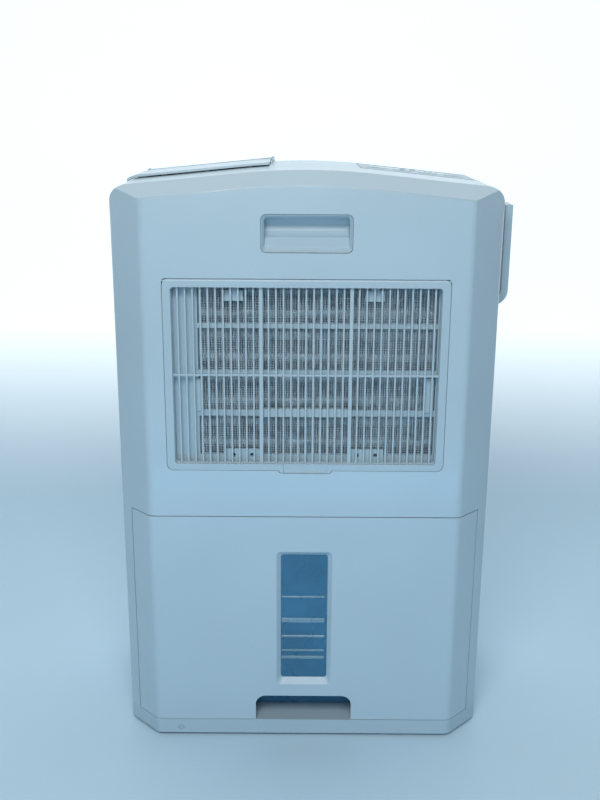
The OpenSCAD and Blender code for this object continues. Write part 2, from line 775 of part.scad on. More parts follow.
// Straight tubes through the fins, joined by half-round bends outside the end plates
module coil_tubes(side) {
    left = coil_x0 - 6;
    right = coil_x1 + 6;
    r = tube_pitch / 2;
    cols = tube_y(side);
    for (row = [0 : tube_rows - 1], y = cols) rod_x(tube_r, [left, right], y, tube_z(row));
    for (row = [0 : 2 : tube_rows - 2], y = cols) translate([right, y, tube_z(row) + r]) rotate([90, 0, 0])
        half_ring(r);
    for (row = [1 : 2 : tube_rows - 3], y = cols) translate([left, y, tube_z(row) + r]) rotate([90, 180, 0])
        half_ring(r);
    translate([left, (cols[0] + cols[1]) / 2, tube_z(tube_rows - 1)]) rotate(180) half_ring((cols[1] - cols[0]) / 2);
}

// The half of a ring of tube that lies at X > 0 in the XY plane
module half_ring(r) {
    intersection() {
        rotate_extrude() translate([r, 0]) circle(r = tube_r, $fn = 24);
        translate([0, -40, -20]) cube([40, 80, 40]);
    }
}

module evaporator_fins() color(metal_col) at_body() fin_pack(evap_y);

module evaporator_tubes() color(copper_col) at_body() coil_tubes(evap_y);

module condenser_fins() color(metal_col) at_body() fin_pack(cond_y);

module condenser_tubes() color(copper_col) at_body() coil_tubes(cond_y);

module coil_end_plates() {
    color(metal_col) at_body() difference() {
        for (x = [coil_x0 - end_t - 0.5, coil_x1 + 0.5])
            box([x, x + end_t], [evap_y[0] - 3, cond_y[1] + 2], [coil_z0 - 5, coil_z1 + 3]);
        for (side = [evap_y, cond_y], row = [0 : tube_rows - 1], y = tube_y(side))
            rod_x(tube_r + 0.05, [coil_x0 - 10, coil_x1 + 10], y, tube_z(row));
    }
}

module drip_tray() {
    z0 = 262;
    color(frame_col) at_body() difference() {
        union() {
            box([-118, 142], [evap_y[0] - 6, cond_y[1] + 0.5], [z0, coil_z0 - 5.1]);
            rod_z(8, inlet_x, inlet_y, [240, z0 + 1]);
        }
        box([-116, 140], [evap_y[0] - 4, cond_y[1] - 1.5], [z0 + 2, coil_z0]);
        rod_z(6, inlet_x, inlet_y, [239, z0 + 5]);
    }
}

module compressor() {
    round_r = 1.35 * compressor_r;
    color(dark_col) at_body() {
        intersection() {
            rod_z(compressor_r, comp[0], comp[1], [comp_z0, comp_z1]);
            translate([comp[0], comp[1], comp_z0 + round_r - 4]) {
                sphere(r = round_r, $fn = 96);
                cylinder(r = round_r, h = 220, $fn = 96);
            }
            translate([comp[0], comp[1], comp_z1 - round_r + 2]) {
                sphere(r = round_r, $fn = 96);
                mirror([0, 0, 1]) cylinder(r = round_r, h = 220, $fn = 96);
            }
        }
        rod_z(compressor_r + 1.5, comp[0], comp[1], [130, 136]);
        difference() {
            union() {
                rod_z(34, comp[0], comp[1], [comp_z0 - 4, comp_z0 + 8]);
                for (a = mount_angles) translate([comp[0], comp[1], comp_z0 - 4]) rotate(a) {
                    translate([0, -12, 0]) cube([mount_r, 24, 3]);
                    translate([mount_r, 0, 0]) cylinder(r = 12, h = 3);
                }
            }
            for (p = mount_places()) rod_z(6.05, p[0], p[1], [comp_z0 - 6, comp_z0]);
        }
        rod_z(11, comp[0] + 16, comp[1] - 6, [comp_z1 - 14, comp_z1 + 5]);
        rod_z(5.5, discharge[0], discharge[1], [comp_z1 - 14, discharge[2]]);
        rod_x(5.5, [suction[0], comp[0] - compressor_r + 5], suction[1], suction[2]);
    }
}

function mount_places() = [for (a = mount_angles) [comp[0] + mount_r * cos(a), comp[1] + mount_r * sin(a)]];

module compressor_mounts() {
    color(rubber_col) at_body() for (p = mount_places()) {
        rod_z(9, p[0], p[1], [base_top, comp_z0 - 4]);
        rod_z(6, p[0], p[1], [comp_z0 - 4, comp_z0 - 1]);
        rod_z(8, p[0], p[1], [comp_z0 - 1, comp_z0 + 3]);
    }
}

module accumulator() {
    color(copper_col) at_body() {
        intersection() {
            rod_z(17, acc[0], acc[1], [70, 190]);
            translate([acc[0], acc[1], 130]) sphere(r = 61, $fn = 96);
        }
        difference() {
            union() {
                rod_z(18.5, acc[0], acc[1], [118, 129]);
                box([acc[0] + 10, comp[0] - compressor_r + 8], [acc[1] - 8, acc[1] - 4], [118, 129]);
            }
            rod_z(17, acc[0], acc[1], [110, 131]);
            rod_z(compressor_r, comp[0], comp[1], [110, 131]);
        }
    }
}

// A path with its corners rounded, each over the distance bend
function rounded(p, bend) = concat([p[0]], [for (i = [1 : len(p) - 2]) let (a = unit(p[i - 1] - p[i]),
    b = unit(p[i + 1] - p[i])) for (k = [0 : 4]) let (t = k / 4)
    p[i] + bend * ((1 - t) * (1 - t) * a + t * t * b)], [p[len(p) - 1]]);

function heading(p, i) = i == 0 ? unit(p[1] - p[0])
    : i == len(p) - 1 ? unit(p[i] - p[i - 1]) : unit(unit(p[i + 1] - p[i]) + unit(p[i] - p[i - 1]));

// A tube swept along a path
module swept(path, r, sides) {
    n = len(path);
    up = [0.36, 0.48, 0.8];
    points = [for (i = [0 : n - 1]) let (h = heading(path, i), u = unit(cross(h, up)), v = cross(h, u))
        for (k = [0 : sides - 1]) path[i] + r * (cos(360 * k / sides) * u + sin(360 * k / sides) * v)];
    walls = [for (i = [0 : n - 2], k = [0 : sides - 1]) let (m = (k + 1) % sides)
        [i * sides + k, i * sides + m, (i + 1) * sides + m, (i + 1) * sides + k]];
    first = [for (k = [sides - 1 : -1 : 0]) k];
    last = [for (k = [0 : sides - 1]) (n - 1) * sides + k];
    polyhedron(concat(points), concat([first], walls, [last]));
}

module refrigerant_pipes() {
    x = coil_x0 - 6;
    hot = [discharge, [discharge[0], discharge[1], 256], [-60, 12, 256], [-126, 10, 262],
        [-126, -4, 300], [-126, tube_y(cond_y)[1], tube_z0], [x, tube_y(cond_y)[1], tube_z0]];
    cold = [[x, tube_y(evap_y)[1], tube_z0], [-134, tube_y(evap_y)[1], tube_z0], [-140, -8, 282],
        [-134, 60, 268], [acc[0] - 20, acc[1], 268], [acc[0], acc[1], 262], [acc[0], acc[1], 190]];
    link = [[acc[0], acc[1], 70], [acc[0], acc[1], suction[2]], [acc[0], suction[1], suction[2]], suction];
    color(copper_col) at_body() {
        swept(rounded(hot, 8), 3.5, 10);
        swept(rounded(cold, 5), 3.5, 10);
        swept(rounded(link, 5), 3.5, 10);
    }
}

module capillary_tube() {
    x = coil_x0 - 6;
    turns = 4;
    coil = [for (i = [0 : 12 * turns]) [-150 + 13 * cos(30 * i), -34 + 13 * sin(30 * i), 318 + 0.42 * i]];
    path = concat([[x, tube_y(cond_y)[0], tube_z0], [-114, tube_y(cond_y)[0], tube_z0], [-128, -36, 314]], coil,
        [[-136, -46, 344], [-124, -60, 330], [-116, tube_y(evap_y)[0], 316],
        [-110, tube_y(evap_y)[0], tube_z0], [x, tube_y(evap_y)[0], tube_z0]]);
    color(copper_col) at_body() swept(path, 1.5, 6);
}

// ---- fan -----------------------------------------------------------------

// The scroll seen from the front: a round chamber and a straight throat up to the outlet
module scroll_outline(t) {
    translate([fan_x, fan_z]) circle(r = scroll_r - t, $fn = 96);
    translate([throat_x0 + t, fan_z]) square([throat_x1 - throat_x0 - 2 * t, duct_z - fan_z + t]);
}

module fan_scroll() {
    bell = wheel_r - 14;
    color(frame_col) at_body() difference() {
        union() {
            translate([0, fan_y1, 0]) rotate([90, 0, 0]) linear_extrude(fan_y1 - fan_y0) scroll_outline(0);
            box([coil_x0 - 2, coil_x1 + 2], [fan_y0 - 2, fan_y0 + 1], [coil_z0 - 5, coil_z1 + 3]);
        }
        translate([0, fan_y1 - 2, 0]) rotate([90, 0, 0]) linear_extrude(fan_y1 - fan_y0 - 4) scroll_outline(2);
        rod_y(bell, fan_x, [fan_y0 - 4, fan_y0 + 4], fan_z);
        rod_y(12, fan_x, [fan_y1 - 3, fan_y1 + 1], fan_z);
    }
}

module blower_wheel() {
    y = [fan_y0 + 6, fan_y1 - 7];
    color(dark_col) at_body() translate([fan_x, 0, fan_z]) difference() {
        union() {
            rod_y(wheel_r, 0, [y[1] - 2, y[1]], 0);
            rod_y(13, 0, [y[1] - 20, y[1]], 0);
            difference() {
                rod_y(wheel_r, 0, [y[0], y[0] + 2.5], 0);
                rod_y(wheel_r - 13, 0, [y[0] - 1, y[0] + 4], 0);
            }
            for (i = [0 : blades - 1]) rotate([0, i * 360 / blades, 0]) translate([wheel_r - 7.5, 0, 0])
                rotate([0, 38, 0]) box([-7, 7], [y[0] + 1, y[1] - 1], [-0.7, 0.7]);
        }
        rod_y(shaft_r, 0, [0, y[1] + 1], 0);
    }
}

module blower_shaft() {
    color(metal_col) at_body() rod_y(shaft_r, fan_x, [fan_y1 - 24, fan_y1 + 14], fan_z);
}

module fan_motor() {
    color(metal_col) at_body() difference() {
        union() {
            rod_y(37, fan_x, [fan_y1 + 4, 93], fan_z);
            rod_y(41, fan_x, [fan_y1 + 8, fan_y1 + 14], fan_z);
            rod_y(11, fan_x, [fan_y1 - 1.5, fan_y1 + 5], fan_z);
            for (a = [45 : 90 : 315]) translate([fan_x, 0, fan_z]) rotate([0, a, 0]) {
                rod_y(4.5, 47, [fan_y1, fan_y1 + 13], 0);
                box([34, 47], [fan_y1 + 9, fan_y1 + 12], [-3.5, 3.5]);
            }
        }
        rod_y(shaft_r + pin_clear, fan_x, [fan_y1 - 4, fan_y1 + 15], fan_z);
    }
}

// ---- rest of the inside ---------------------------------------------------

module partition() {
    color(metal_col) at_body() difference() {
        union() {
            box([-hw + wall + 0.5, hw - wall - 0.5], [-11, -9.5], [base_top, 261.5]);
            box([-hw + wall + 0.5, hw - wall - 0.5], [-11, 6], [base_top, base_top + 1.5]);
            box([-hw + wall + 0.5, hw - wall - 0.5], [-11, -2.4], [260, 261.5]);
        }
        for (x = [-150 : 60 : 150]) rod_z(2.2, x, -2, [base_top - 1, base_top + 5]);
    }
}

module electronics_box() {
    color(frame_col) at_body() difference() {
        box([-168, -42], [4, 88], [40, 226]);
        box([-166, -44], [6, 89], [42, 224]);
        for (z = [70 : 14 : 196]) box([-169, -160], [20, 70], [z, z + 5]);
    }
    color(frame_col) at_body() for (x = [-150, -60]) box([x - 6, x + 6], [20, 70], [base_top, 40]);
}

module main_board() {
    color(board_col) at_body() {
        box([-160, -50], [14, 15.6], [50, 216]);
        for (x = [-156, -54], z = [56, 210]) rod_y(2, x, [6, 14.1], z);
        box([-150, -118], [15.5, 40], [170, 205]);
        box([-108, -84], [15.5, 34], [60, 90]);
        for (i = [0 : 4]) rod_y(5, -70, [15.5, 32], 70 + 22 * i);
        box([-150, -112], [15.5, 22], [60, 110]);
    }
}

module run_capacitor() {
    color("#d7d9d6") at_body() {
        rod_z(15, -95, 66, [110, 190]);
        difference() {
            rod_z(17, -95, 66, [140, 150]);
            rod_z(15, -95, 66, [139, 151]);
        }
        box([-97, -93], [50 - 0.1, 51.2], [140, 150]);
        box([-97, -93], [34, 51], [140, 150]);
        rod_z(3, -100, 66, [190, 196]);
        rod_z(3, -90, 66, [190, 196]);
    }
}

module humidity_sensor() {
    color(board_col) at_body() {
        box([-146, -132], [evap_y[0] - 2, evap_y[0] - 0.4], [420, 450]);
        box([-143, -135], [evap_y[0] - 6, evap_y[0] - 1.9], [436, 446]);
        box([-133, coil_x0 - end_t - 0.5], [evap_y[0] - 2, evap_y[0] - 0.4], [424, 430]);
    }
}

front_shell();
rear_shell();
top_cover();
base_pan();
rubber_feet();
front_grip();
rear_grip();
cord_hook();
case_screws();
cord_inlet();
intake_grille();
filter_frame();
filter_mesh();
outlet_flap();
outlet_guard();
outlet_duct();
control_panel();
display_window();
control_board();
power_key();
mode_key();
timer_key();
fan_key();
tank_cover();
tank_body();
tank_lid();
tank_float();
float_magnet();
tank_switch();
evaporator_fins();
evaporator_tubes();
condenser_fins();
condenser_tubes();
coil_end_plates();
drip_tray();
fan_scroll();
blower_wheel();
blower_shaft();
fan_motor();
partition();
compressor();
compressor_mounts();
accumulator();
refrigerant_pipes();
capillary_tube();
electronics_box();
main_board();
run_capacitor();
humidity_sensor();
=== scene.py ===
"""Looks of the dehumidifier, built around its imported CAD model. Metres, in the CAD frame."""

import math
import bpy
from mathutils import Matrix, Vector


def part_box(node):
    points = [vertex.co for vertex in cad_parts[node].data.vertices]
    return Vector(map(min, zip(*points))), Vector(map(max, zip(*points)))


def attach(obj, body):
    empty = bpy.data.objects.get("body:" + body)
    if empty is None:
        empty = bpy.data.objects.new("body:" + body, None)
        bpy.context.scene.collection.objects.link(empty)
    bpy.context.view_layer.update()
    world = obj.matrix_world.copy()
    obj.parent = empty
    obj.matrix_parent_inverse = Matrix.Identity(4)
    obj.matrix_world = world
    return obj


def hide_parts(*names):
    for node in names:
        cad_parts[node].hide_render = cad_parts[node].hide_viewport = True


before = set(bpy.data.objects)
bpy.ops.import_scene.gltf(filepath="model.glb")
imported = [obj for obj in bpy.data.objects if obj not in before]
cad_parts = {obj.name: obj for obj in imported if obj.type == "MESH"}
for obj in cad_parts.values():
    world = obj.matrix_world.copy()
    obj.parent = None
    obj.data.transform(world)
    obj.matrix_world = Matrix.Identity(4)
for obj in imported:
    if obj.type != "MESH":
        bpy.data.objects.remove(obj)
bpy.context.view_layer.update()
MM = 0.001

# ---- colours, as sRGB 0 to 255 ------------------------------------------------

CASING = (178, 200, 212)
TRIM = (172, 194, 206)
KEY_CAP = (196, 212, 220)
PRINT = (70, 92, 108)
FILTER = (176, 198, 208)
NET = (206, 224, 234)
TANK = (72, 134, 172)
RUBBER = (38, 40, 43)
DARK = (62, 70, 77)
STEEL = (178, 182, 186)
FIN_COAT = (212, 232, 242)
COPPER = (190, 112, 74)
ENAMEL = (26, 27, 30)
BOARD = (30, 92, 58)
FOAM = (228, 230, 230)
INNER = (164, 180, 188)
FLOOR = (196, 224, 241)


# ---- material helpers -----------------------------------------------------------

def linear(colour, scale=1.0):
    """An sRGB colour as the linear RGBA that shaders take."""
    parts = [c / 255 for c in colour]
    return [scale * (c / 12.92 if c <= 0.04045 else ((c + 0.055) / 1.055) ** 2.4) for c in parts] + [1.0]


def new_material(name, colour, rough, **sockets):
    """A Principled material; a socket's name is written with _ for its spaces."""
    made = bpy.data.materials.new(name)
    made.use_nodes = True
    made.diffuse_color = linear(colour)
    shader = made.node_tree.nodes["Principled BSDF"]
    shader.inputs["Base Color"].default_value = linear(colour)
    shader.inputs["Roughness"].default_value = rough
    for socket, value in sockets.items():
        shader.inputs[socket.replace("_", " ")].default_value = value
    return made


def add(made, kind, **inputs):
    """A node of that kind with its inputs set to values or linked to outputs."""
    node = made.node_tree.nodes.new(kind)
    for socket, value in inputs.items():
        target = node.inputs[socket.replace("_", " ")]
        if isinstance(value, bpy.types.NodeSocket):
            made.node_tree.links.new(value, target)
        else:
            target.default_value = value
    return node


def place(made, stretch=(1, 1, 1)):
    """The piece's own coordinates in metres, stretched along each axis."""
    coords = add(made, "ShaderNodeTexCoord")
    return add(made, "ShaderNodeMapping", Vector=coords.outputs["Object"], Scale=stretch).outputs["Vector"]


def noise(made, grain, stretch=(1, 1, 1), detail=3.0):
    """Noise whose grain is about that many metres across."""
    node = add(made, "ShaderNodeTexNoise", Vector=place(made, stretch), Scale=1 / grain, Detail=detail)
    return node.outputs["Fac"]


def cells(made, grain, feature="F1"):
    """Voronoi cells about that many metres across."""
    node = add(made, "ShaderNodeTexVoronoi", Vector=place(made), Scale=1 / grain)
    node.feature = feature
    return node.outputs["Distance"]


def ramp(made, value, low, high, to_low=0.0, to_high=1.0):
    """The value's range low to high, carried to another range."""
    node = add(made, "ShaderNodeMapRange", Value=value)
    for socket, number in (("From Min", low), ("From Max", high), ("To Min", to_low), ("To Max", to_high)):
        node.inputs[socket].default_value = number
    return node.outputs["Result"]


def mix(made, factor, first, second):
    """A colour between two colours or colour outputs."""
    node = made.node_tree.nodes.new("ShaderNodeMix")
    node.data_type = "RGBA"
    for index, value in ((0, factor), (6, first), (7, second)):
        if isinstance(value, bpy.types.NodeSocket):
            made.node_tree.links.new(value, node.inputs[index])
        else:
            node.inputs[index].default_value = value
    return node.outputs[2]


def paint(made, socket, value):
    """Links a value to the material's own shader."""
    made.node_tree.links.new(value, made.node_tree.nodes["Principled BSDF"].inputs[socket])


def relief(made, *layers, edge=0.0):
    """Bump made of (height, depth in metres) layers, over edges rounded to the edge radius."""
    normal = None
    if edge:
        rounded = add(made, "ShaderNodeBevel", Radius=edge)
        rounded.samples = 4
        normal = rounded.outputs["Normal"]
    for height, depth in layers:
        node = add(made, "ShaderNodeBump", Height=height, Distance=depth, Strength=1.0)
        if normal is not None:
            made.node_tree.links.new(normal, node.inputs["Normal"])
        normal = node.outputs["Normal"]
    paint(made, "Normal", normal)


# ---- materials --------------------------------------------------------------------

def moulded(name, colour, rough, grain=0.35 * MM, depth=0.0025 * MM, edge=0.6 * MM, **sockets):
    """Moulded plastic: slow colour drift, a fine skin and the faint waviness of a large moulding."""
    made = new_material(name, colour, rough, **sockets)
    drift = ramp(made, noise(made, 90 * MM, detail=1), 0.3, 0.7)
    paint(made, "Base Color", mix(made, drift, linear(colour, 0.98), linear(colour, 1.015)))
    paint(made, "Roughness", ramp(made, noise(made, 70 * MM, detail=1), 0.3, 0.7, rough - 0.02, rough + 0.02))
    relief(made, (noise(made, 120 * MM, detail=0), 0.05 * MM), (noise(made, grain, detail=2), depth),
           edge=edge)
    return made


def casing_plastic():
    """The glossy skin of the outer shells."""
    return moulded("casing_plastic", CASING, 0.3, edge=0.8 * MM, Coat_Weight=0.3, Coat_Roughness=0.1)


def translucent(name, colour):
    """Blown or moulded polypropylene that light passes through."""
    made = new_material(name, colour, 0.28, Transmission_Weight=0.3, IOR=1.4)
    cloud = ramp(made, noise(made, 35 * MM), 0.3, 0.7)
    paint(made, "Base Color", mix(made, cloud, linear(colour, 0.86), linear(colour, 1.1)))
    paint(made, "Roughness", ramp(made, noise(made, 30 * MM, detail=1), 0.3, 0.7, 0.24, 0.32))
    relief(made, (noise(made, 30 * MM, (1, 1, 2.5), 0), 0.08 * MM), (noise(made, 0.8 * MM), 0.002 * MM),
           edge=0.6 * MM)
    return made


def woven(name, colour):
    """The plastic thread of the filter net."""
    made = new_material(name, colour, 0.6, Sheen_Weight=0.2)
    lint = ramp(made, noise(made, 7 * MM, detail=6), 0.42, 0.72)
    paint(made, "Base Color", mix(made, lint, linear(colour, 0.9), linear((128, 146, 158))))
    relief(made, (noise(made, 0.3 * MM), 0.05 * MM))
    return made


def fin_metal():
    """Thin aluminium fins under a pale blue coating, faintly dusty in scattered patches."""
    made = new_material("fin_metal", FIN_COAT, 0.34, Metallic=0.25)
    dust = ramp(made, noise(made, 11 * MM, detail=6), 0.5, 0.8)
    paint(made, "Base Color", mix(made, dust, linear(FIN_COAT), linear((166, 178, 184))))
    paint(made, "Roughness", ramp(made, noise(made, 2 * MM, (6, 1, 1)), 0.3, 0.7, 0.28, 0.5))
    relief(made, (noise(made, 1.4 * MM, (1, 1, 0.2)), 0.05 * MM))
    return made


def sheet_steel():
    """Galvanised sheet with its spangle."""
    made = new_material("sheet_steel", STEEL, 0.38, Metallic=1.0)
    spangle = ramp(made, cells(made, 9 * MM), 0.1, 0.9)
    paint(made, "Base Color", mix(made, spangle, linear(STEEL, 0.8), linear(STEEL, 1.12)))
    paint(made, "Roughness", ramp(made, cells(made, 6 * MM), 0.0, 0.9, 0.28, 0.52))
    relief(made, (noise(made, 1.2 * MM, (1, 1, 6)), 0.012 * MM))
    return made


def turned_steel():
    """Bright turned or plated steel, with fine rings of tool marks."""
    made = new_material("turned_steel", (196, 198, 200), 0.26, Metallic=1.0)
    marks = noise(made, 0.5 * MM, (1, 8, 1))
    paint(made, "Roughness", ramp(made, marks, 0.3, 0.7, 0.18, 0.4))
    paint(made, "Base Color", mix(made, ramp(made, noise(made, 4 * MM), 0.3, 0.7),
                                  linear((176, 178, 180)), linear((210, 211, 212))))
    relief(made, (marks, 0.02 * MM))
    return made


def copper():
    """Drawn copper tube that has begun to brown."""
    made = new_material("copper", COPPER, 0.3, Metallic=1.0)
    brown = ramp(made, noise(made, 16 * MM, detail=6), 0.4, 0.7)
    paint(made, "Base Color", mix(made, brown, linear(COPPER), linear((122, 70, 48))))
    paint(made, "Roughness", ramp(made, brown, 0.0, 1.0, 0.24, 0.46))
    relief(made, (noise(made, 0.8 * MM, (1, 1, 0.3)), 0.015 * MM))
    return made


def enamel():
    """Thick black enamel with orange peel."""
    made = new_material("enamel", ENAMEL, 0.28, Coat_Weight=0.6, Coat_Roughness=0.15)
    scuff = ramp(made, noise(made, 12 * MM, detail=6), 0.5, 0.75)
    paint(made, "Base Color", mix(made, scuff, linear(ENAMEL), linear((58, 58, 60))))
    paint(made, "Roughness", ramp(made, scuff, 0.0, 1.0, 0.26, 0.5))
    relief(made, (noise(made, 2.2 * MM, detail=2), 0.05 * MM))
    return made


def rubber():
    """Matt black rubber."""
    made = new_material("rubber", RUBBER, 0.75)
    bloom = ramp(made, noise(made, 5 * MM, detail=6), 0.4, 0.75)
    paint(made, "Base Color", mix(made, bloom, linear(RUBBER), linear((66, 68, 70))))
    relief(made, (noise(made, 0.35 * MM), 0.05 * MM))
    return made


def foam():
    """Closed-cell foam of the float."""
    made = new_material("foam", FOAM, 0.8)
    pores = ramp(made, cells(made, 1.1 * MM), 0.0, 0.6)
    paint(made, "Base Color", mix(made, pores, linear(FOAM, 0.86), linear(FOAM)))
    relief(made, (pores, 0.12 * MM))
    return made


def smoked():
    """The smoked window over the display."""
    made = new_material("smoked", (18, 24, 28), 0.08, Coat_Weight=1.0, Coat_Roughness=0.03)
    smear = ramp(made, noise(made, 18 * MM, detail=4), 0.4, 0.7)
    paint(made, "Roughness", ramp(made, smear, 0.0, 1.0, 0.06, 0.16))
    paint(made, "Base Color", mix(made, smear, linear((16, 22, 26)), linear((26, 33, 38))))
    relief(made, (noise(made, 30 * MM, detail=1), 0.03 * MM))
    return made


def circuit(name, face):
    """Solder mask with tracks; what stands beyond the board's face along Y is dark moulded parts."""
    made = new_material(name, BOARD, 0.35)
    position = add(made, "ShaderNodeSeparateXYZ", Vector=place(made)).outputs["Y"]
    proud = ramp(made, position, face, face + 0.2 * MM)
    tracks = ramp(made, cells(made, 5 * MM, feature="DISTANCE_TO_EDGE"), 0.04, 0.08)
    mask = mix(made, tracks, linear((58, 128, 78)), linear(BOARD))
    kinds = mix(made, ramp(made, noise(made, 30 * MM, detail=0), 0.48, 0.5),
                linear((34, 36, 40)), linear((150, 152, 150)))
    paint(made, "Base Color", mix(made, proud, mask, kinds))
    relief(made, (tracks, 0.03 * MM), (noise(made, 1 * MM), 0.02 * MM))
    return made


def ink(name, colour, rough):
    """A thin printed or moulded-in layer."""
    made = new_material(name, colour, rough)
    paint(made, "Base Color", mix(made, ramp(made, noise(made, 1.5 * MM), 0.3, 0.7),
                                  linear(colour, 0.9), linear(colour, 1.15)))
    return made


MAIN_FACE = (14 + 1.6) * MM
NO_PARTS = 1.0  # a face so far out that the whole board is solder mask

casing = casing_plastic()
trim = moulded("trim_plastic", TRIM, 0.36, Coat_Weight=0.15, Coat_Roughness=0.2)
key_plastic = moulded("key_plastic", KEY_CAP, 0.42, grain=0.25 * MM)
filter_plastic = moulded("filter_plastic", FILTER, 0.45)
inner_plastic = moulded("inner_plastic", INNER, 0.5)
dark_plastic = moulded("dark_plastic", DARK, 0.48)
sheet = sheet_steel()
turned = turned_steel()
red_metal = copper()
black_rubber = rubber()

DRESS = {
    casing: ["front_shell", "rear_shell", "top_cover", "tank_cover", "outlet_flap"],
    trim: ["front_grip", "rear_grip", "cord_hook", "base_pan", "intake_grille", "control_panel"],
    key_plastic: ["power_key", "mode_key", "timer_key", "fan_key"],
    filter_plastic: ["filter_frame", "tank_lid"],
    inner_plastic: ["outlet_duct", "drip_tray", "fan_scroll", "electronics_box"],
    dark_plastic: ["outlet_guard", "blower_wheel", "tank_switch"],
    translucent("tank_plastic", TANK): ["tank_body"],
    foam(): ["tank_float"],
    moulded("magnet", (48, 48, 52), 0.5): ["float_magnet"],
    black_rubber: ["rubber_feet", "cord_inlet", "compressor_mounts"],
    turned: ["case_screws", "blower_shaft"],
    smoked(): ["display_window"],
    sheet: ["coil_end_plates", "partition", "fan_motor"],
    red_metal: ["evaporator_tubes", "condenser_tubes", "refrigerant_pipes", "capillary_tube", "accumulator"],
    enamel(): ["compressor"],
    circuit("main_circuit", MAIN_FACE): ["main_board"],
    circuit("small_circuit", NO_PARTS): ["control_board", "humidity_sensor"],
    moulded("capacitor_can", (196, 198, 194), 0.3, Metallic=0.85): ["run_capacitor"],
}


# ---- CAD nodes ----------------------------------------------------------------------

WELD_GAP = 0.002 * MM
CREASE = math.radians(32)


def dress(node, made):
    """Gives a CAD node its material, and smooth shading over all but its sharp edges."""
    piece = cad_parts[node]
    piece.data.materials.clear()
    piece.data.materials.append(made)
    weld = piece.modifiers.new("weld", "WELD")
    weld.merge_threshold = WELD_GAP
    creases = piece.modifiers.new("creases", "EDGE_SPLIT")
    creases.split_angle = CREASE
    normals = piece.modifiers.new("normals", "WEIGHTED_NORMAL")
    normals.keep_sharp = False
    for face in piece.data.polygons:
        face.use_smooth = True


for made, nodes in DRESS.items():
    for node in nodes:
        dress(node, made)


# ---- meshes ---------------------------------------------------------------------------

def to_piece(name, mesh, made, body):
    """A new piece that rides a body and wears the given material."""
    piece = bpy.data.objects.new(name, mesh)
    bpy.context.scene.collection.objects.link(piece)
    piece.data.materials.append(made)
    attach(piece, body)
    return piece


def mesh_of(name, solids):
    """One mesh from (vertices, faces) solids."""
    vertices, faces = [], []
    for points, rings in solids:
        start = len(vertices)
        vertices += points
        faces += [[start + index for index in ring] for ring in rings]
    mesh = bpy.data.meshes.new(name)
    mesh.from_pydata(vertices, [], faces)
    mesh.validate()
    return mesh


def prism(outline, low, high, put):
    """A closed solid over a flat outline between two heights; put makes a point of (u, v, height)."""
    count = len(outline)
    points = [put(u, v, h) for h in (low, high) for u, v in outline]
    sides = [[i, (i + 1) % count, count + (i + 1) % count, count + i] for i in range(count)]
    return points, [list(range(count))[::-1], list(range(count, 2 * count))] + sides


def upright(y, z, x):
    """A point of an outline in the YZ plane, for prism."""
    return Vector((x, y, z))


def rod(start, end, across, up, width, height):
    """A thread with an eight-sided section from start to end."""
    ring = [(math.cos(a), math.sin(a)) for a in (math.pi / 4 * k for k in range(8))]
    points = [at + across * (c * width / 2) + up * (s * height / 2) for at in (start, end) for c, s in ring]
    sides = [[i, (i + 1) % 8, 8 + (i + 1) % 8, 8 + i] for i in range(8)]
    return points, [list(range(8))[::-1], list(range(8, 16))] + sides


# ---- heat exchangers: thin fins with rippled edges ---------------------------------------

FIN_PITCH = 1.5 * MM
RIPPLE = 1.2 * MM
RIPPLE_STEPS = 6
FIN_THICK = 0.2 * MM
TUBES = 8
TUBE_ROW = 21.4 * MM
FIRST_ROW = 311 * MM
TUBE_INSET = 9 * MM
COLLAR_R = 5.1 * MM
COLLAR_SIDES = 20


def fin_stack(node, name):
    """Thin fins across the block, their edges rippled at each row, with collars around the tubes."""
    low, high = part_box(node)
    pitch = (high.z - low.z) / TUBES
    steps = TUBES * RIPPLE_STEPS
    swell = [0.5 + 0.5 * math.cos(math.tau * (k / RIPPLE_STEPS - 0.5)) for k in range(steps + 1)]
    heights = [low.z + pitch * k / RIPPLE_STEPS for k in range(steps + 1)]
    front = [(low.y + RIPPLE * (1 - s), z) for s, z in zip(swell, heights)]
    back = [(high.y - RIPPLE * (1 - s), z) for s, z in zip(swell, heights)]
    solids = []
    for index in range(int((high.x - low.x - FIN_THICK) / FIN_PITCH) + 1):
        x = low.x + index * FIN_PITCH
        solids.append(prism(front + back[::-1], x, x + FIN_THICK, upright))
    turns = [math.tau * k / COLLAR_SIDES for k in range(COLLAR_SIDES)]
    circle = [(COLLAR_R * math.cos(a), COLLAR_R * math.sin(a)) for a in turns]
    for row in range(TUBES):
        for y in (low.y + TUBE_INSET, high.y - TUBE_INSET):
            z = FIRST_ROW + row * TUBE_ROW
            solids.append(prism([(y + u, z + v) for u, v in circle], low.x, high.x, upright))
    piece = to_piece(name, mesh_of(name, solids), fins_made, "chassis")
    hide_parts(node)


fins_made = fin_metal()
fin_stack("evaporator_fins", "evaporator_fin_stack")
fin_stack("condenser_fins", "condenser_fin_stack")


# ---- filter net ---------------------------------------------------------------------------

NET_PITCH = 2.3 * MM
THREAD = 0.62 * MM
THREAD_DEPTH = 0.4 * MM
CROSSING = 0.12 * MM


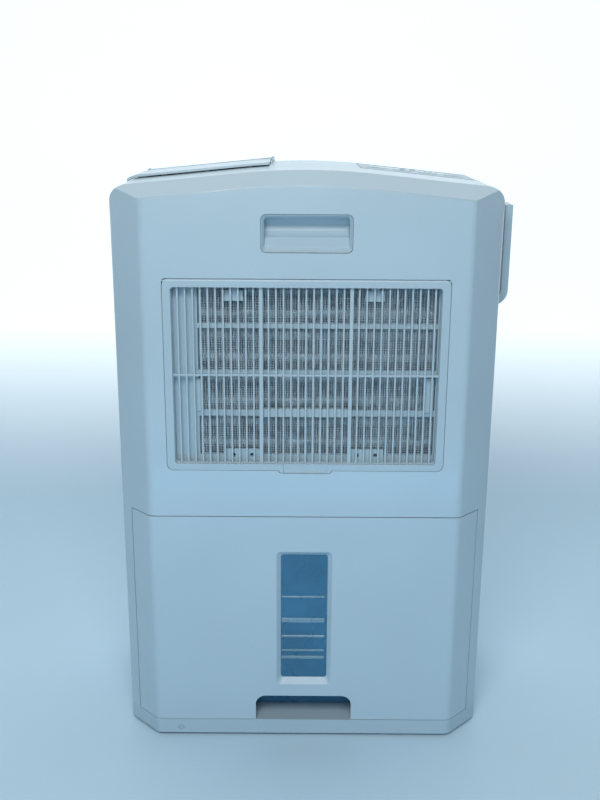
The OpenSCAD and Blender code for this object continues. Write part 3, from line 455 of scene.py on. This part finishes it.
def filter_net():
    """Threads both ways over the filter's area, the level ones passing in front."""
    low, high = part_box("filter_mesh")
    mid = (low.y + high.y) / 2
    behind, before = mid + CROSSING, mid - CROSSING
    across, up, depth = Vector((1, 0, 0)), Vector((0, 0, 1)), Vector((0, 1, 0))
    solids = []
    for k in range(int((high.x - low.x) / NET_PITCH) + 1):
        x = low.x + k * NET_PITCH
        solids.append(rod(Vector((x, behind, low.z)), Vector((x, behind, high.z)),
                          across, depth, THREAD, THREAD_DEPTH))
    for k in range(int((high.z - low.z) / NET_PITCH) + 1):
        z = low.z + k * NET_PITCH
        solids.append(rod(Vector((low.x, before, z)), Vector((high.x, before, z)),
                          up, depth, THREAD, THREAD_DEPTH))
    piece = to_piece("filter_net", mesh_of("filter_net", solids), woven("net", NET), "grille")
    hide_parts("filter_mesh")


filter_net()


# ---- level ledges moulded on the front of the tank, seen through the window ------------------

# Each ledge's height above the floor, how far it stands out and how tall it is, in millimetres.
LEDGES = ((157, 1.1, 2.2), (131, 1.3, 5.0), (113, 1.1, 2.6), (97, 1.2, 2.2), (89, 1.2, 3.4))
LEDGE_LEFT = 22.4 * MM
LEDGE_RIGHT = 20.5 * MM
LEDGE_ROOT = 0.2 * MM


def tank_ledges():
    """Rounded ledges across the tank's front wall, behind the water window."""
    low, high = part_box("tank_body")
    centre = (low.x + high.x) / 2
    face = low.y
    solids = []
    for level, depth, height in LEDGES:
        z, d, h = level * MM, depth * MM, height * MM / 2
        profile = [(face + LEDGE_ROOT, z - h), (face - d * 0.6, z - h * 0.9), (face - d, z - h * 0.3),
                   (face - d, z + h * 0.4), (face - d * 0.5, z + h * 0.95), (face + LEDGE_ROOT, z + h)]
        solids.append(prism(profile, centre - LEDGE_LEFT, centre + LEDGE_RIGHT, upright))
    # The ledges wear a lighter copy of the tank's plastic: a painted highlight along the ridges.
    to_piece("tank_ledges", mesh_of("tank_ledges", solids), translucent("ledge_plastic_painted_highlight", (128, 170, 190)),
             "tank")


tank_ledges()


# ---- key symbols and display bars, all generic -----------------------------------------------

CROWN_HALF, CROWN_RADIUS = 62, 615
TOP_SLOPE = math.atan(CROWN_HALF / CROWN_RADIUS)
PRINT_LIFT = 0.06 * MM


def top_point(node):
    """The middle of a top node's upper face, and the directions along, across and out of the slope."""
    along, across = Vector((math.cos(TOP_SLOPE), 0, -math.sin(TOP_SLOPE))), Vector((0, 1, 0))
    up = along.cross(across)
    points = [vertex.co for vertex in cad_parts[node].data.vertices]
    top = max(up.dot(point) for point in points)
    face = [point for point in points if up.dot(point) > top - 0.05 * MM]
    u, v = [(min(span) + max(span)) / 2 for span in ([along.dot(p) for p in face], [across.dot(p) for p in face])]
    return along * u + across * v + up * top, along, across, up


def strokes(name, node, shapes, made, body):
    """Thin flat shapes, in millimetres from the middle of a top node's upper face."""
    origin, along, across, up = top_point(node)
    solids = [prism([(u * MM, v * MM) for u, v in shape], -PRINT_LIFT, PRINT_LIFT,
                    lambda u, v, h: origin + along * u + across * v + up * h) for shape in shapes]
    to_piece(name, mesh_of(name, solids), made, body)


def arc(radius, width, start, end, steps=14, middle=(0, 0)):
    """A curved stroke between two angles in degrees, as quads."""
    turns = [math.radians(start + (end - start) * k / steps) for k in range(steps + 1)]
    outer, inner = [[(middle[0] + r * math.cos(a), middle[1] + r * math.sin(a)) for a in turns]
                    for r in (radius + width / 2, radius - width / 2)]
    return [[inner[k], outer[k], outer[k + 1], inner[k + 1]] for k in range(steps)]


def bar(x, y, w, h):
    """A rectangle around its middle."""
    return [(x - w / 2, y - h / 2), (x + w / 2, y - h / 2), (x + w / 2, y + h / 2), (x - w / 2, y + h / 2)]


def symbols():
    """A power sign, a drop, a clock and a fan on the keys, and two digits with three squares on the display."""
    print_ink = ink("key_ink", PRINT, 0.5)
    power = arc(2.3, 0.55, 125, 415) + [bar(0, 2.0, 0.55, 2.6)]
    drop = arc(1.7, 0.5, 150, 390, middle=(0, -0.7))
    drop += [[(-1.75, -0.1), (-1.2, -0.3), (0.2, 2.9), (-0.2, 3.1)],
             [(1.2, -0.3), (1.75, -0.1), (0.2, 3.1), (-0.2, 2.9)]]
    clock = arc(2.6, 0.5, 0, 360, 20) + [bar(0, 0.8, 0.45, 1.8), bar(0.65, 0, 1.5, 0.45)]
    fan = [[(0, 0)] + [(2.8 * math.cos(math.radians(a + t)), 2.8 * math.sin(math.radians(a + t)))
                       for t in (0, 15, 30, 45)] for a in (30, 150, 270)]
    for key, shapes in (("power_key", power), ("mode_key", drop), ("timer_key", clock), ("fan_key", fan)):
        strokes(key + "_symbol", key, shapes, print_ink, key.replace("key", "button"))
    digits = []
    for x in (-9, 1):
        digits += [bar(x, y, 3.6, 0.8) for y in (-4.4, 0, 4.4)]
        digits += [bar(x + dx, dy, 0.8, 3.3) for dx in (-2.4, 2.4) for dy in (-2.2, 2.2)]
    digits += [bar(x, 0, 2.2, 2.2) for x in (14, 20, 26)]
    strokes("display_bars", "display_window", digits, ink("bar_ink", (62, 80, 78), 0.4), "chassis")


symbols()


# ---- surroundings ---------------------------------------------------------------------------

EYE = (-0.0129, -1.0005, 0.6286)
PITCH, ROLL = 16.45, 0.35
LENS, SENSOR = 45, 36


def camera():
    """A viewpoint a little above the top of the machine, pitched down."""
    lens = bpy.data.cameras.new("camera")
    lens.lens = LENS
    lens.sensor_width = SENSOR
    lens.clip_end = 50
    eye = bpy.data.objects.new("camera", lens)
    bpy.context.scene.collection.objects.link(eye)
    turn = Matrix.Rotation(math.radians(90 - PITCH), 4, "X") @ Matrix.Rotation(math.radians(ROLL), 4, "Z")
    eye.matrix_world = Matrix.Translation(EYE) @ turn
    bpy.context.scene.camera = eye


def soft_light(name, place_at, aim, size, power, tint):
    """A rectangular area light that faces a point."""
    lamp = bpy.data.lights.new(name, "AREA")
    lamp.shape = "RECTANGLE"
    lamp.size, lamp.size_y = size
    lamp.energy = power
    lamp.color = linear(tint)[:3]
    holder = bpy.data.objects.new(name, lamp)
    bpy.context.scene.collection.objects.link(holder)
    holder.location = place_at
    holder.rotation_mode = "QUATERNION"
    holder.rotation_quaternion = (Vector(aim) - Vector(place_at)).to_track_quat("-Z", "Y")


def studio():
    """A pale floor that sweeps up into a bright backdrop, two lights in front and a cool one near the floor."""
    far, round_off, tall, reach, steps = 0.5, 0.6, 4.0, 6.0, 16
    turns = [math.pi / 2 * k / steps for k in range(steps + 1)]
    rise = [(-reach, 0.0)]
    rise += [(far + round_off * math.sin(a), round_off * (1 - math.cos(a))) for a in turns]
    rise += [(far + round_off, tall)]
    points = [(x, y, z) for y, z in rise for x in (-reach, reach)]
    faces = [(2 * i, 2 * i + 1, 2 * i + 3, 2 * i + 2) for i in range(len(rise) - 1)]
    mesh = bpy.data.meshes.new("sweep")
    mesh.from_pydata(points, [], faces)
    for face in mesh.polygons:
        face.use_smooth = True
    floor = bpy.data.objects.new("sweep", mesh)
    bpy.context.scene.collection.objects.link(floor)
    made = new_material("sweep", FLOOR, 0.6, Emission_Color=linear((247, 251, 252)))
    paint(made, "Base Color", mix(made, noise(made, 0.2), linear(FLOOR, 0.98), linear(FLOOR, 1.01)))
    height = add(made, "ShaderNodeSeparateXYZ", Vector=place(made)).outputs["Z"]
    paint(made, "Emission Strength", ramp(made, height, 0.0, 0.2, 0.0, 0.8))
    relief(made, (noise(made, 1.5 * MM), 0.05 * MM))
    mesh.materials.append(made)
    world = bpy.data.worlds.new("sky")
    world.use_nodes = True
    sky = world.node_tree.nodes["Background"]
    sky.inputs["Color"].default_value = linear((222, 234, 240))
    sky.inputs["Strength"].default_value = 0.14
    bpy.context.scene.world = world
    soft_light("key", (-0.1, -1.15, 1.35), (0, 0, 0.4), (0.8, 0.5), 12.5, (250, 252, 252))
    soft_light("fill", (-0.15, -1.5, 0.75), (0, 0, 0.45), (0.5, 0.5), 3.2, (240, 251, 255))
    soft_light("low", (0, -0.75, 0.03), (0, -0.1, 0.1), (0.9, 0.05), 0.55, (70, 178, 238))
    bpy.context.scene.view_settings.view_transform = "Standard"


camera()
studio()
